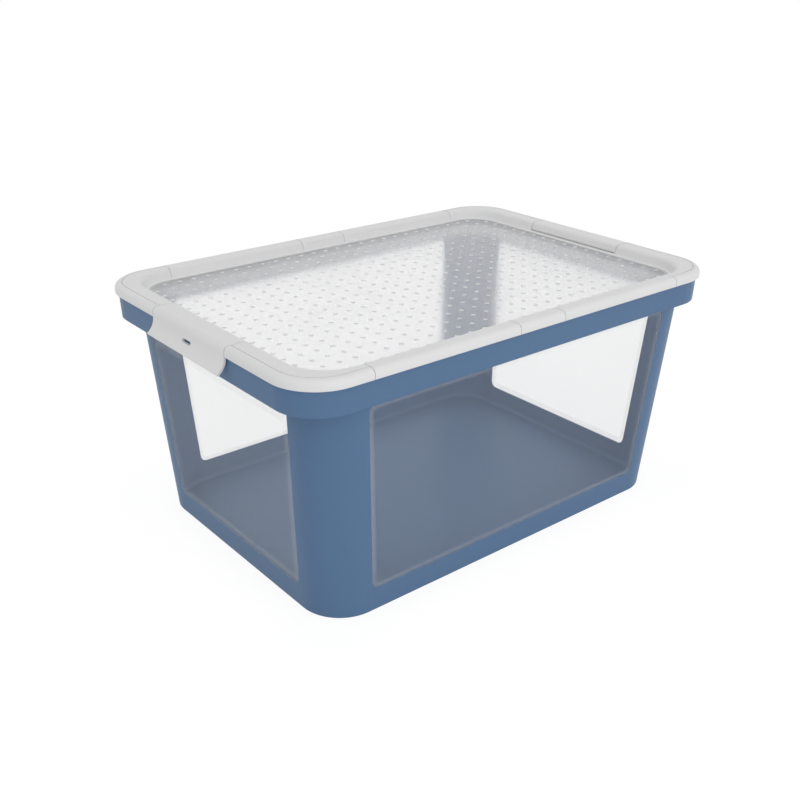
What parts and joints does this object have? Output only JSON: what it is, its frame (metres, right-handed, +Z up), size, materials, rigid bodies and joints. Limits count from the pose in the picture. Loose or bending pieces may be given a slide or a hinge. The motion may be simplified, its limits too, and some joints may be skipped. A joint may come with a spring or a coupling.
{
  "type": "storage box with lid",
  "caption": "Rectangular plastic storage box with clear window panes in a coloured frame and a lift-off lid held by swinging end clips.",
  "frame": {"origin": "centre of the base, on the surface the box stands on", "axes": "+X along the box's length towards the right clip, +Y towards the back, +Z up"},
  "size_m": [0.58, 0.39, 0.27],
  "materials": {
    "blue_plastic": "satin",
    "clear_plastic": "clear",
    "white_plastic": "satin",
    "frosted_plastic": "frosted"
  },
  "bodies": {
    "tub": {"tub_frame": "blue_plastic", "front_window": "clear_plastic", "back_window": "clear_plastic", "left_window": "clear_plastic", "right_window": "clear_plastic"},
    "lid": {"lid_rim": "white_plastic", "lid_panel": "frosted_plastic"},
    "left_clip": {"left_clip": "white_plastic"},
    "right_clip": {"right_clip": "white_plastic"}
  },
  "joints": [
    {"name": "lid_lift", "type": "slide", "parent": "tub", "child": "lid", "axis": [0, 0, 1], "range_m": [0, 0.15]},
    {"name": "left_clip_hinge", "type": "hinge", "parent": "lid", "child": "left_clip", "pos_m": [-0.25694, 0, 0.2624], "axis": [0, 1, 0], "range_deg": [0, 90]},
    {"name": "right_clip_hinge", "type": "hinge", "parent": "lid", "child": "right_clip", "pos_m": [0.25694, 0, 0.2624], "axis": [0, -1, 0], "range_deg": [0, 90]}
  ]
}
